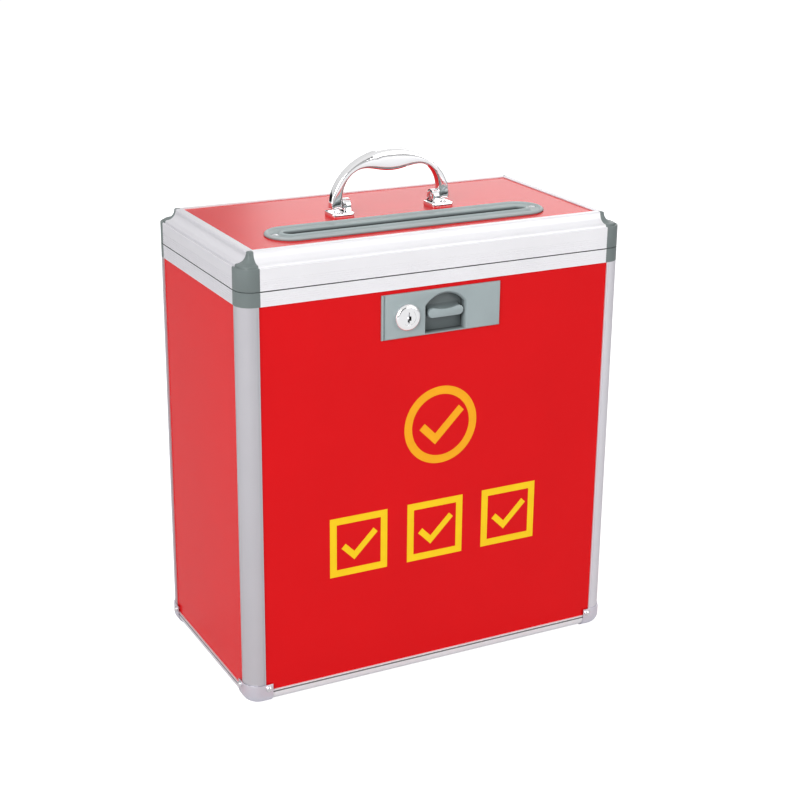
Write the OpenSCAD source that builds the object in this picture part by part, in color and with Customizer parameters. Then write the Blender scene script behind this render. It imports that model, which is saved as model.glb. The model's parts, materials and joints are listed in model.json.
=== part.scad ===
// Lockable ballot box: board panels held in aluminium extrusions, with a hinged lid,
// a slot for the papers, a fold-down handle, a cylinder lock and a snap latch.
// X runs to the right, Y to the back and Z up. The origin is under the middle of the box.

/* [Case] */
// Width over the extrusions
case_w = 370; // [320:5:460]
// Depth over the extrusions
case_d = 200; // [175:5:260]
// Height from the ground to the top of the lid's rim
case_h = 408; // [340:0.5:500]
// Height of the lid, from the seam to the top of its rim
lid_h = 31; // [31:0.5:50]
// Thickness of the boards
panel_t = 3; // [2.5:0.1:4]

/* [Extrusions] */
// Wall thickness of the body's extrusions
wall = 1.2; // [1:0.1:1.6]
// Width of a corner post on each face
post_w = 16; // [15:0.5:20]
// Outer radius of the posts and of the corner caps
post_r = 14; // [12:0.5:15]
// Height of the bottom rails
foot_rail_h = 11.5; // [10.5:0.5:14]
// Height of the band round the body's top
band_h = 12.5; // [12:0.5:18]
// Width of a plastic corner cap on each face
cap_w = 17.4; // [17:0.2:22]
// Width of the lid's rim, from the outer face to the board
rim_w = 19; // [18.5:0.5:24]

/* [Bottom corners] */
// Sheet thickness of the metal corners
corner_t = 1; // [0.8:0.1:1.5]
// Reach of a metal corner along each face
corner_reach = 22.5; // [20:0.5:28]
// Height of a metal corner at the post
corner_h = 19; // [18:0.5:24]

/* [Ballot slot] */
// Clear length of the slot
slot_l = 236; // [200:1:250]
// Clear width of the slot
slot_w = 13; // [10:0.5:16]
// Width of the slot's frame
frame_w = 46; // [42:1:56]
// Distance from the slot's middle to the middle of the lid
slot_offset = 44; // [42:1:48]
// Distance from the slot's middle to the middle of the box, to the left
slot_shift = 4; // [0:1:8]

/* [Handle] */
// Distance between the outer faces of the handle's legs
handle_w = 118; // [104:1:140]
// Height of the handle above its pins
handle_rise = 47; // [40:1:60]
// Thickness of a leg, along the lid
leg_t = 11; // [9:0.5:12]
// Depth of a leg, across the lid
leg_d = 9; // [8:0.5:11]
// Depth of the grip at its middle
grip_d = 13; // [11:0.5:16]
// Diameter of the handle's pins
pivot_d = 3.6; // [3:0.1:4.5]

/* [Lock] */
// Width of the lock's plate
plate_w = 115.5; // [110:0.5:130]
// Height of the lock's plate
plate_h = 39.6; // [39:0.2:46]
// Distance from the seam down to the top of the lock's plate
plate_drop = 16.3; // [14:0.1:40]
// Diameter of the lock cylinder's collar
collar_d = 24; // [20:0.5:25]
// Distance from the middle of the box to the lock cylinder, to the left
lock_x = 34; // [31:0.5:36]
// Width of the finger recess
recess_w = 38; // [36:0.5:42]
// Travel of the latch button, downwards
button_travel = 8; // [6:0.5:9]

/* [Hinges] */
// Width of a hinge
hinge_w = 42; // [30:1:60]
// Distance from the middle of the box to the middle of a hinge
hinge_x = 105; // [70:5:130]
// Diameter of a hinge's knuckles
knuckle_d = 5.2; // [5:0.1:6]

/* [Hidden] */
$fn = 64;

red = [0.84, 0.09, 0.10];
light_alu = [0.83, 0.83, 0.86];
plastic_grey = [0.55, 0.60, 0.61];
bright_steel = [0.86, 0.86, 0.88];
steel = [0.62, 0.62, 0.64];

fit = 0.1;
eps = 0.01;
seam_z = case_h - lid_h;
ground_gap = corner_t + fit;
foot_r = foot_rail_h - 3;
channel = panel_t + 0.1;
board_stop = 11;
board_grip = 3.5;
floor_edge = 8;
seam_gap = 0.6;

// Lid extrusion, measured inwards from the outer face and up from the seam
skin = 1.4;
ledge_z = lid_h - 11.7;
cove_r = 8.5;
cove_x = 4.3;
cove_z = lid_h - 0.8;
lip_x = cove_x + cove_r;
lip_t = 0.9;
seat_w = 4.8;
leg_x = 5.4;
leg_z = 10;

// The tongue on the body's band that the lid closes over
tongue_x = 2.4;
tongue_t = 1.4;
tongue_h = 5;

// Rivets and screws
rivet_r = 1.6;
rivet_head_r = 3;
hole_gap = 0.05;
corner_rivet_x = corner_reach - 4;
corner_top = max(corner_h, ground_gap + foot_rail_h + rivet_r + 4.5);
corner_rivet_z = corner_top - 4;

// Slot frame, above the lid's board
board_top = case_h - lip_t;
frame_x = slot_l / 2 - slot_w / 2;
frame_r = frame_w / 2;
frame_rise = 2.6;
neck_r = slot_w / 2 + 1.8;
frame_screw_r = (slot_w / 2 + frame_r) / 2;
screw_r = 2;
screw_head_r = 3.4;

// Handle
pin_z = board_top + 10;
ear_r = 6;
ear_t = 6.6;
ear_gap = 0.4;
leg_in = handle_w / 2 - leg_t;
foot_t = 2.2;
foot_h = 4.2;
foot_w = 20;
leg_drop = 3;
sides = 20;
rings = 44;

// Lock and latch
face_y = -case_d / 2;
panel_out = face_y + wall;
panel_in = panel_out + panel_t;
plate_proud = 1;
strip_w = 1.5;
strip_groove = 1.6;
plate_top = seam_z - plate_drop;
plate_bottom = plate_top - plate_h;
plate_mid = plate_top - plate_h / 2;
lock_z = plate_mid - 1.1;
recess_x = 4;
recess_bottom = plate_bottom + 1.2;
recess_top = plate_top - 4.9;
recess_arch = 9.5;
recess_back = panel_in + 3.8;
rib = 1.6;
case_wall = 1.4;
case_back = panel_in + 18;
slide_w = recess_w + 3;
slide_t = 2.5;
slide_y = recess_back + fit;
slide_bottom = plate_bottom + 0.4;
slide_top = plate_top + 0.4;
case_x1 = recess_x - slide_w / 2 - 0.3 - case_wall;
case_x2 = recess_x + slide_w / 2 + 0.3 + case_wall;
case_z1 = plate_bottom - 9.5;
case_z2 = seam_z - band_h - 0.4;
bar_h = 8.3;
bar_z = plate_bottom + 14.4;
hook_w = 12;
hook_t = 2.4;
hook_y = panel_in + 9.4;
hook_pin_r = 1.25;
hook_pin_z = plate_bottom + 2.4;
hook_pin_y = hook_y + 1.2;
hook_swing = 5;
hook_eye = 3.2;
nose_tip = face_y + 6;
nose_z = seam_z + 4.9;
nose_h = 3.3;
nub_z = bar_z + bar_h + 4.7;
strike_y = face_y + leg_x + skin;
strike_t = 1.2;
strike_bar = 2;
strike_z1 = seam_z + 2.6;
strike_x1 = -lock_x - 4;
strike_rivet_x = [-lock_x + 12, recess_x + hook_w / 2 + 7.5];
spring_x = recess_x + slide_w / 2 - 5;
spring_y = hook_y + 0.4;
spring_r = 2.3;
spring_wire = 0.6;
spring_turns = 11;
shelf_z = nub_z - 7;
barrel_r = 9;
barrel_end = panel_in + 4.8;
collar_out = 5.4;
collar_edge = 3.2;
plug_r = 6.6;
cam_y = panel_in + 5.3;
cam_t = 2;
cam_w = 9;
cam_tip = nose_z - lock_z + 3.5;

// Hinges, with the axis behind the rear face at the height of the seam
leaf_t = 1.2;
hinge_y = case_d / 2 + knuckle_d / 2 + 0.2;
leaf_h = 12.8;
body_rivet_z = -10;
lid_rivet_z = 8.2;
cheek_t = 2.4;
hinge_pin_r = 1.2;
knuckles = 3;
lid_swing = 100;
stop_reach = knuckle_d / 2 + 1;

// A place on one of the four sides, counted from the front: X along it and Y inwards
module at_side(side) {
    reach = side % 2 == 0 ? case_d / 2 : case_w / 2;
    rotate(90 * side) translate([0, -reach, 0]) children();
}

// A place at one of the four corners, from the front left: X and Y both inwards
module at_corner(corner) {
    reach_x = corner == 0 || corner == 3 ? -case_w / 2 : case_w / 2;
    reach_y = corner < 2 ? -case_d / 2 : case_d / 2;
    translate([reach_x, reach_y, 0]) rotate(90 * corner) children();
}

function side_length(side) = side % 2 == 0 ? case_w : case_d;

// A profile, drawn as distance inwards and height, run along X and centred
module run_along(length) {
    translate([-length / 2, 0, 0]) rotate([90, 0, 90]) linear_extrude(length) children();
}

// The same profile turned round a corner, with straight ends up to a reach
module turn_corner(reach, radius) {
    translate([radius, radius, 0]) rotate(180) rotate_extrude(angle = 90) intersection() {
        translate([radius, 0]) mirror([1, 0]) children();
        translate([0, -case_h]) square([radius + 10, 2 * case_h]);
    }
    if (reach > radius) {
        translate([radius, 0, 0]) rotate([90, 0, 90]) linear_extrude(reach - radius) children();
        translate([0, reach, 0]) rotate([90, 0, 0]) linear_extrude(reach - radius) children();
    }
}

// Boards

module wall_board(side) {
    width = side_length(side) - 2 * (board_stop + 0.3);
    bottom = ground_gap + foot_rail_h - board_grip;
    top = seam_z - band_h + 4.8;
    translate([-width / 2, wall, bottom]) cube([width, panel_t, top - bottom]);
}

module corner_rivet_holes(side) {
    for (end = [-1, 1])
        translate([end * (side_length(side) / 2 - corner_rivet_x), -5, corner_rivet_z])
            rotate([-90, 0, 0]) cylinder(r = rivet_r + hole_gap, h = 20);
}

module front_panel() {
    color(red) difference() {
        at_side(0) wall_board(0);
        at_side(0) corner_rivet_holes(0);
        recess_tube(0.2, -1, 30);
        translate([-lock_x, face_y, lock_z]) rotate([-90, 0, 0])
            cylinder(r = barrel_r + hole_gap, h = 20);
        case_screw_spots() cylinder(r = 1.6, h = 20);
    }
}

module rear_panel() {
    color(red) difference() {
        at_side(2) wall_board(2);
        at_side(2) corner_rivet_holes(2);
        hinge_rivet_spots(-1) cylinder(r = rivet_r + hole_gap, h = 20, center = true);
    }
}

module side_panel(side) {
    color(red) difference() {
        at_side(side) wall_board(side);
        at_side(side) corner_rivet_holes(side);
    }
}

module bottom_panel() {
    edge = floor_edge + 0.3;
    notch = post_w + 0.2;
    z = ground_gap + wall;
    color(red) difference() {
        translate([edge - case_w / 2, edge - case_d / 2, z])
            cube([case_w - 2 * edge, case_d - 2 * edge, panel_t]);
        for (corner = [0:3])
            at_corner(corner) translate([0, 0, z - 1]) cube([notch, notch, panel_t + 2]);
    }
}

// Body extrusions

module post_profile() {
    difference() {
        union() {
            square([post_w, wall + channel + wall]);
            square([wall + channel + wall, post_w]);
            square([board_stop, board_stop]);
        }
        difference() {
            translate([-1, -1]) square(post_r + 1);
            translate([post_r, post_r]) circle(post_r);
        }
        translate([board_stop, wall]) square([post_w, channel]);
        translate([wall, board_stop]) square([channel, post_w]);
        intersection() {
            square(board_stop - wall);
            translate([post_r, post_r]) circle(post_r - wall);
        }
        // Fine bead line beside each lip
        translate([post_w - 1.9, -eps]) square([0.5, 0.3]);
        translate([-eps, post_w - 1.9]) square([0.3, 0.5]);
    }
}

// Outline of the bottom rail's outer side, which the posts and the metal corners follow
module foot_outline(grow, height, depth) {
    radius = foot_r + grow;
    difference() {
        translate([-grow, ground_gap - grow]) square([depth + grow, height]);
        difference() {
            translate([-grow - 1, ground_gap - grow - 1]) square(radius + 1);
            translate([radius - grow, ground_gap - grow + radius]) circle(radius);
        }
    }
}

module post(corner) {
    top = seam_z - band_h;
    color(light_alu) at_corner(corner) intersection() {
        translate([0, 0, ground_gap]) linear_extrude(top - ground_gap) post_profile();
        union() {
            turn_corner(post_w, post_r) foot_outline(0, top, post_r);
            translate([post_r, post_r, 0]) cube([5, 5, top]);
        }
    }
}

module foot_profile() {
    top = ground_gap + foot_rail_h;
    board_z = ground_gap + wall;
    difference() {
        intersection() {
            foot_outline(0, foot_rail_h, 14);
            union() {
                square([wall + channel + wall, top]);
                square([14, board_z + channel + wall]);
            }
        }
        translate([wall, top - board_grip]) square([channel, 10]);
        translate([floor_edge, board_z]) square([10, channel]);
        // Hollow behind the rounded face
        intersection() {
            translate([foot_r, ground_gap + foot_r]) circle(foot_r - wall);
            union() {
                square([wall + channel, top - board_grip - wall]);
                square([floor_edge - wall, board_z + channel]);
            }
        }
        // Groove below the lip
        translate([-eps, top - 2.3]) square([0.45, 1.2]);
    }
}

module bottom_rail(side) {
    color(light_alu) at_side(side) run_along(side_length(side) - 2 * post_w) foot_profile();
}

module groove_lines(first, pitch, count) {
    for (i = [0:count - 1]) translate([-eps, first + i * pitch]) square([0.25, 0.5]);
}

module band_profile() {
    depth = wall + channel + wall;
    difference() {
        union() {
            translate([0, -band_h]) square([depth, band_h]);
            translate([tongue_x, -1]) square([tongue_t, tongue_h + 1]);
        }
        translate([wall, -band_h - 1]) square([channel, 1 + 5]);
        translate([wall, -band_h + 6.2]) square([channel, band_h - 6.2 - 1.4]);
        groove_lines(-band_h + 2.5, 1.9, 5);
    }
}

module band(side) {
    length = side_length(side) - 2 * cap_w;
    color(light_alu) difference() {
        translate([0, 0, seam_z]) at_side(side) run_along(length) band_profile();
        if (side == 2) hinge_rivet_spots(-1) cylinder(r = rivet_r + hole_gap, h = 20, center = true);
    }
}

// The plastic key that joins a cap to the extrusion beside it
module cap_key(x, width, z, height) {
    for (turn = [0, 1])
        mirror(turn == 0 ? [0, 0, 0] : [1, -1, 0])
            translate([post_r - 5, x, z]) cube([cap_w + 12 - post_r + 5, width, height]);
}

module body_cap(corner) {
    depth = wall + channel;
    key_z = -band_h + 6.3;
    color(plastic_grey) translate([0, 0, seam_z]) at_corner(corner) {
        difference() {
            turn_corner(cap_w, post_r) translate([0, -band_h]) square([board_stop, band_h]);
            // Room for the ends of the boards, which reach up beside the post
            for (turn = [0, 1])
                mirror(turn == 0 ? [0, 0, 0] : [1, -1, 0])
                    translate([board_stop, wall, -band_h - 1]) cube([cap_w, depth, 6]);
        }
        cap_key(wall + 0.1, channel - 0.2, key_z, band_h - 7.9);
    }
}

// Metal corners

module corner_face_outline() {
    round_r = 3;
    translate([-5, -1]) square([5 + corner_reach, 1 + corner_top - round_r]);
    translate([-5, -1]) square([5 + corner_reach - round_r, 1 + corner_top]);
    translate([corner_reach - round_r, corner_top - round_r]) circle(round_r);
}

module metal_corner(corner) {
    outer = fit + corner_t;
    color(bright_steel) at_corner(corner) {
        difference() {
            intersection() {
                difference() {
                    turn_corner(corner_reach, post_r) foot_outline(outer, 40, post_r);
                    turn_corner(corner_reach + 1, post_r) foot_outline(fit, 50, post_r + 1);
                }
                union() {
                    translate([0, 40, 0]) rotate([90, 0, 0]) linear_extrude(50) corner_face_outline();
                    mirror([1, -1, 0]) translate([0, 40, 0])
                        rotate([90, 0, 0]) linear_extrude(50) corner_face_outline();
                }
            }
            for (turn = [0, 1])
                mirror(turn == 0 ? [0, 0, 0] : [1, -1, 0])
                    translate([corner_rivet_x, -5, corner_rivet_z]) rotate([-90, 0, 0])
                        cylinder(r = rivet_r + hole_gap, h = 10);
        }
        // The leg under the box
        translate([0, 0, ground_gap - outer]) linear_extrude(corner_t) {
            translate([post_r - 0.5, post_r - 0.5]) square([corner_reach - post_r, 3]);
            translate([post_r - 0.5, post_r - 0.5]) square([3, corner_reach - post_r]);
            translate([post_r + 1.5, post_r + 1.5]) circle(5);
        }
    }
}

// Blind rivet: the head stands on the surface at zero and the shank runs up
module rivet(grip) {
    rotate_extrude() intersection() {
        translate([0, -1.5]) circle(rivet_head_r + 0.7);
        square([rivet_head_r, 3]);
    }
    translate([0, 0, -grip - 1.4]) cylinder(r = rivet_r, h = grip + 1.5);
    translate([0, 0, -grip - 1.4]) cylinder(r = rivet_r + 0.5, h = 1.4);
}

module body_rivets() {
    color(bright_steel) {
        for (side = [0:3], end = [-1, 1])
            at_side(side)
                translate([end * (side_length(side) / 2 - corner_rivet_x), -fit - corner_t, corner_rivet_z])
                    rotate([90, 0, 0]) rivet(fit + corner_t + wall + panel_t);
        hinge_rivet_spots(-1) translate([0, 0, leaf_t]) rivet(leaf_t + wall + channel + wall);
    }
}

// Lid

module lid_profile() {
    difference() {
        union() {
            translate([0, seam_gap]) square([skin, ledge_z - seam_gap - 1]);
            ledge_shape();
            intersection() {
                translate([cove_x, cove_z]) circle(cove_r + skin);
                translate([cove_x, cove_z - 20]) square([20, 20]);
            }
            polygon([
                [lip_x + 0.1, lid_h - lip_t - channel - wall],
                [rim_w - 1, lid_h - lip_t - channel - wall], [rim_w - 1, lid_h - lip_t - channel],
                [rim_w - seat_w, lid_h - lip_t - channel], [rim_w - seat_w, lid_h - lip_t],
                [rim_w, lid_h - lip_t], [rim_w, lid_h], [lip_x + 1.2, lid_h],
                [lip_x + 0.5, lid_h - 0.25], [lip_x, cove_z]
            ]);
            translate([leg_x, leg_z]) square([skin, ledge_z + 1.6 - leg_z]);
        }
        translate([cove_x, cove_z]) circle(cove_r);
        groove_lines(seam_gap + 1.6, 1.9, 5);
    }
}

// The double ridge along the lid, between its upright face and the cove
module ledge_shape() {
    polygon([
        [0, ledge_z - 2], [skin, ledge_z - 2], [3, ledge_z - 0.8],
        [cove_x + 1, cove_z - cove_r - skin + 0.2], [cove_x + 1, cove_z - cove_r + 0.3],
        [3.4, ledge_z + 2.1], [2.8, ledge_z + 1.4], [2.4, ledge_z - 0.2], [1.8, ledge_z - 0.2],
        [1.4, ledge_z + 0.5], [0.6, ledge_z + 0.5], [0, ledge_z]
    ]);
}

module lid_rail(side) {
    length = side_length(side) - 2 * cap_w;
    half = side_length(side) / 2;
    color(light_alu) difference() {
        translate([0, 0, seam_z]) at_side(side) intersection() {
            run_along(length) lid_profile();
            // Mitre where the flat lips of two rails meet
            linear_extrude(lid_h + 1)
                polygon([[-half, 0], [half, 0], [half - rim_w - 1, rim_w + 1], [rim_w + 1 - half, rim_w + 1]]);
        }
        if (side == 0) strike_rivet_spots() cylinder(r = rivet_r + hole_gap, h = 6, center = true);
        if (side == 2) hinge_rivet_spots(1) cylinder(r = rivet_r + hole_gap, h = 6, center = true);
    }
}

// Outline of a lid cap, solid from the outer face to the inner one
module cap_outline() {
    difference() {
        polygon([
            [0, seam_gap], [2.6, seam_gap], [2.6, ledge_z - 3], [post_r, ledge_z - 3],
            [post_r, lid_h], [lip_x + 1.2, lid_h], [lip_x + 0.5, lid_h - 0.25], [lip_x, cove_z],
            [cove_x, cove_z], [cove_x, cove_z - cove_r], [3.4, ledge_z + 2.1],
            [2.8, ledge_z + 1.4], [2.4, ledge_z - 0.2], [1.8, ledge_z - 0.2],
            [1.4, ledge_z + 0.5], [0.6, ledge_z + 0.5], [0, ledge_z]
        ]);
        translate([cove_x, cove_z]) circle(cove_r);
    }
}

module lid_cap(corner) {
    core = cap_w - post_r;
    color(plastic_grey) translate([0, 0, seam_z]) at_corner(corner) {
        difference() {
            union() {
                turn_corner(cap_w, post_r) cap_outline();
                translate([post_r, post_r, ledge_z - 3]) cube([core, core, lid_h - ledge_z + 3]);
            }
            translate([rim_w - seat_w, rim_w - seat_w, lid_h - lip_t - channel])
                cube([20, 20, channel]);
        }
        cap_key(skin + 0.1, leg_x - skin - 0.2, leg_z + 0.2, ledge_z - leg_z - 3.4);
    }
}

module lid_panel() {
    edge = rim_w - seat_w + 0.2;
    z = board_top - panel_t;
    color(red) difference() {
        translate([edge - case_w / 2, edge - case_d / 2, z])
            cube([case_w - 2 * edge, case_d - 2 * edge, panel_t]);
        translate([-slot_shift, -slot_offset, z - 1]) linear_extrude(panel_t + 2)
            oblong(frame_x, neck_r + 0.2);
        lid_screw_spots() cylinder(r = screw_r + hole_gap, h = 30, center = true);
        for (s = [-1, 1]) translate([s * (leg_in - ear_gap - ear_t / 2), 0, z - 1])
            cylinder(r = 2.5 + hole_gap, h = panel_t + 2);
    }
}

module oblong(half, radius) {
    for (s = [-1, 1]) translate([s * half, 0]) circle(radius);
    translate([-half, -radius]) square([2 * half, 2 * radius]);
}

// Section of the slot's frame, measured from the slot's centre line
module frame_section() {
    inner = slot_w / 2;
    polygon([
        [inner, -panel_t - 2], [inner, frame_rise - 1.2], [inner + 0.7, frame_rise - 0.2],
        [inner + 1.6, frame_rise], [inner + 2.6, frame_rise - 0.4], [inner + 4, 1.4],
        [frame_r - 4, 1.5], [frame_r - 2.6, frame_rise], [frame_r - 1.2, frame_rise],
        [frame_r, frame_rise - 1.2], [frame_r, 0], [neck_r, 0], [neck_r, -panel_t - 2]
    ]);
}

module slot_frame() {
    color(plastic_grey) translate([-slot_shift, -slot_offset, board_top]) difference() {
        union() {
            for (s = [0, 1]) rotate(180 * s) {
                translate([frame_x, 0, 0]) rotate(-90) rotate_extrude(angle = 180) frame_section();
                translate([frame_x, 0, 0]) rotate([90, 0, -90]) linear_extrude(2 * frame_x)
                    frame_section();
            }
        }
        for (s = [-1, 1]) translate([s * (frame_x + frame_screw_r), 0, -5]) {
            cylinder(r = screw_r + hole_gap, h = 20);
            translate([0, 0, 5.7]) cylinder(r = screw_head_r + 0.2, h = 20);
        }
    }
}

// Where the lid's screws stand: two through the slot's frame and two through the handle's feet
module lid_screw_spots() {
    for (s = [-1, 1]) {
        translate([s * (frame_x + frame_screw_r) - slot_shift, -slot_offset, board_top + 0.7])
            children();
        translate([s * (leg_in + leg_t / 2), 0, board_top + foot_t]) children();
    }
}

module lid_screws() {
    color(bright_steel) lid_screw_spots() {
        rotate_extrude() intersection() {
            translate([0, -4.9]) circle(6.2);
            square([screw_head_r, 3]);
        }
        translate([0, 0, -10]) cylinder(r = screw_r, h = 10.1);
    }
}

module lid_nuts() {
    z = board_top - panel_t;
    color(steel) {
        for (s = [-1, 1], spot = [
            [s * (frame_x + frame_screw_r) - slot_shift, -slot_offset], [s * (leg_in + leg_t / 2), 0]
        ])
            translate([spot[0], spot[1], z - 4]) difference() {
                union() {
                    cylinder(r = 3.9, h = 3.2, $fn = 6);
                    translate([0, 0, 3.2]) cylinder(r = 4.6, h = 0.8);
                }
                translate([0, 0, -1]) cylinder(r = screw_r + hole_gap, h = 6);
            }
    }
}

// Handle

module foot_base_outline(x1, x2) {
    round_r = 2.5;
    for (x = [x1 + round_r, x2 - round_r], s = [-1, 1])
        translate([x, s * (foot_w / 2 - round_r)]) circle(round_r);
    translate([x1 + round_r, -foot_w / 2]) square([x2 - x1 - 2 * round_r, foot_w]);
    translate([x1, round_r - foot_w / 2]) square([x2 - x1, foot_w - 2 * round_r]);
}

module handle_foot(side) {
    ear_x = leg_in - ear_gap - ear_t;
    tongue_end = leg_in + leg_t / 2;
    color(bright_steel) mirror([side < 0 ? 1 : 0, 0, 0]) translate([0, 0, board_top]) difference() {
        union() {
            translate([ear_x, 0, pin_z - board_top]) rotate([0, 90, 0]) cylinder(r = ear_r, h = ear_t);
            translate([ear_x, -ear_r, 0]) cube([ear_t, 2 * ear_r, pin_z - board_top]);
            linear_extrude(foot_h) foot_base_outline(ear_x - 2, tongue_end + 6.5);
            translate([ear_x + ear_t / 2, 0, -panel_t]) cylinder(r = 2.5, h = panel_t + 1);
        }
        translate([ear_x - 1, 0, pin_z - board_top]) rotate([0, 90, 0])
            cylinder(r = pivot_d / 2 + hole_gap, h = ear_t + 2);
        translate([tongue_end, 0, -1]) cylinder(r = screw_r + hole_gap, h = 10);
        translate([tongue_end, 0, foot_t]) cylinder(r = screw_head_r + 0.3, h = 10);
    }
}

module handle_pins() {
    ear_x = leg_in - ear_gap - ear_t;
    length = ear_t + ear_gap + leg_t - 2.5;
    color(steel) for (s = [0, 1])
        mirror([s, 0, 0]) translate([ear_x - 0.4, 0, pin_z]) rotate([0, 90, 0]) {
            cylinder(r = pivot_d / 2, h = length);
            cylinder(r = pivot_d / 2 + 0.5, h = 0.4);
        }
}

// Outer and inner edges of the arch, by the angle up from the left leg
function oval(half_w, height, power, a) = [
    -half_w * sign(cos(a)) * pow(abs(cos(a)), 2 / power),
    height * pow(sin(a), 2 / power)
];
function outer_edge(a) = oval(handle_w / 2, handle_rise, 1.9, a);
function belly(x) = abs(x) < 40 ? 8.9 * pow(cos(90 * x / 40), 2) : 0;
function inner_edge(a) = let (p = oval(leg_in, handle_rise - 11, 2.8, a)) [p[0], p[1] - belly(p[0])];
function section_side(a, power) = sign(a) * pow(abs(a), 2 / power);

// A ring of the grip: a rounded rectangle between the two edges, across the lid
function ring(outer, inner, depth) = [
    for (k = [0:sides - 1])
        let (
            t = 360 * (k + 0.5) / sides,
            u = 0.5 + section_side(cos(t), 4.5) / 2,
            v = section_side(sin(t), 4.5) * depth / 2
        )
        [inner[0] + (outer[0] - inner[0]) * u, v, inner[1] + (outer[1] - inner[1]) * u]
];
function grip_depth(a) = leg_d + (grip_d - leg_d) * pow(sin(a), 2);

module grip_solid() {
    angles = [for (i = [0:rings]) 180 * i / rings];
    left = ring([-handle_w / 2, -leg_drop], [-leg_in, -leg_drop], leg_d);
    right = ring([handle_w / 2, -leg_drop], [leg_in, -leg_drop], leg_d);
    arch = [for (a = angles) ring(outer_edge(a), inner_edge(a), grip_depth(a))];
    all_rings = concat([left], arch, [right]);
    count = len(all_rings);
    points = [for (r = all_rings) each r];
    walls = [
        for (i = [0:count - 2], k = [0:sides - 1])
            let (a = i * sides + k, b = i * sides + (k + 1) % sides)
            each [[a, a + sides, b], [b, a + sides, b + sides]]
    ];
    ends = [
        [for (k = [0:sides - 1]) k],
        [for (k = [sides - 1:-1:0]) (count - 1) * sides + k]
    ];
    polyhedron(points, concat(walls, ends), convexity = 6);
}

module handle_grip() {
    color(bright_steel) difference() {
        translate([0, 0, pin_z]) grip_solid();
        for (s = [0, 1]) mirror([s, 0, 0])
            translate([leg_in - 1, 0, pin_z]) rotate([0, 90, 0])
                cylinder(r = pivot_d / 2 + hole_gap, h = leg_t - 0.5);
    }
}

// Lock and latch

// Outline of the finger recess, seen from the front
module recess_outline(grow) {
    half = recess_w / 2;
    arch_r = (half * half + recess_arch * recess_arch) / (2 * recess_arch);
    height = recess_top - recess_bottom;
    intersection() {
        translate([-half - grow, -grow / 2]) square([recess_w + 2 * grow, height + 2 * grow]);
        translate([0, height - arch_r]) circle(arch_r + grow);
    }
}

module recess_tube(grow, y1, y2) {
    translate([recess_x, face_y + y2, recess_bottom]) rotate([90, 0, 0])
        linear_extrude(y2 - y1) recess_outline(rib + grow);
}

module case_screw_spots() {
    for (x = [case_x1 - 4, case_x2 + 4], z = [plate_bottom + 5, plate_top - 5])
        translate([x, face_y + 1, z]) rotate([-90, 0, 0]) children();
}

module lock_housing() {
    depth = recess_back - panel_out;
    color(plastic_grey) difference() {
        union() {
            translate([-plate_w / 2, panel_out - wall - plate_proud, plate_bottom])
                cube([plate_w, wall + plate_proud, plate_h]);
            recess_tube(0, wall, wall + depth);
            case_screw_spots() translate([0, 0, wall - 1]) cylinder(r = 1.5, h = panel_t);
        }
        translate([recess_x, recess_back + 1, recess_bottom]) rotate([90, 0, 0])
            linear_extrude(20) recess_outline(0);
        // Bevel round the front of the recess
        hull() {
            translate([recess_x, panel_out + 0.2, recess_bottom]) rotate([90, 0, 0])
                linear_extrude(eps) recess_outline(0);
            translate([recess_x, panel_out - wall - plate_proud - eps, recess_bottom + 0.6])
                rotate([90, 0, 0]) linear_extrude(eps) recess_outline(1.4);
        }
        // Bevel round the plate's front edge
        for (s = [-1, 1]) {
            translate([s * plate_w / 2, face_y - plate_proud, plate_mid]) rotate(45)
                cube([1.1, 1.1, plate_h + 2], center = true);
            translate([0, face_y - plate_proud, plate_mid + s * plate_h / 2]) rotate([45, 0, 0])
                cube([plate_w + 2, 1.1, 1.1], center = true);
        }
        translate([-lock_x, face_y - 10, lock_z]) rotate([-90, 0, 0])
            cylinder(r = barrel_r + hole_gap, h = 30);
        case_screw_spots() translate([0, 0, -0.2]) cylinder(r = 0.9, h = 20);
        // Groove beside the plate's left edge
        translate([strip_w - plate_w / 2, face_y - plate_proud - 1, plate_bottom - 1])
            cube([strip_groove, 2.1, plate_h + 2]);
    }
}

module lock_case() {
    color(plastic_grey) difference() {
        union() {
            translate([case_x1, panel_in, case_z1])
                cube([case_x2 - case_x1, case_back - panel_in, case_z2 - case_z1]);
            translate([case_x1 - 8, panel_in, plate_bottom])
                cube([case_x2 - case_x1 + 16, 2, plate_h]);
        }
        translate([case_x1 + case_wall, panel_in - 1, case_z1 + case_wall])
            cube([case_x2 - case_x1 - 2 * case_wall, case_back - panel_in + 1 - case_wall,
                  case_z2 - case_z1 - 2 * case_wall]);
        // Way out for the hook, through the top and the back
        translate([recess_x - hook_w / 2 - 1, hook_y - 1, case_z2 - 14])
            cube([hook_w + 2, 20, 20]);
        case_screw_spots() cylinder(r = 1.6, h = 30);
        // Room for the nut of the lock cylinder
        translate([-lock_x, panel_in - 1, lock_z]) rotate([-90, 0, 0]) cylinder(r = 14, h = 20);
    }
    // Cheeks that carry the hook's pin
    color(plastic_grey) for (s = [-1, 1])
        translate([recess_x + s * (hook_w / 2 + 0.4 + cheek_t / 2), 0, hook_pin_z]) difference() {
            translate([-cheek_t / 2, hook_pin_y - hook_eye, -hook_eye])
                cube([cheek_t, case_back - case_wall / 2 - hook_pin_y + hook_eye, 2 * hook_eye]);
            translate([-cheek_t, hook_pin_y, 0]) rotate([0, 90, 0])
                cylinder(r = hook_pin_r + hole_gap, h = 2 * cheek_t);
        }
}

module lock_case_screws() {
    color(steel) case_screw_spots() {
        translate([0, 0, panel_in + 2 - face_y - 1]) rotate_extrude() intersection() {
            translate([0, -1.7]) circle(3.2);
            square([2.7, 3]);
        }
        translate([0, 0, 1]) cylinder(r = 0.85, h = panel_in - face_y + 0.1);
    }
}

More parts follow.
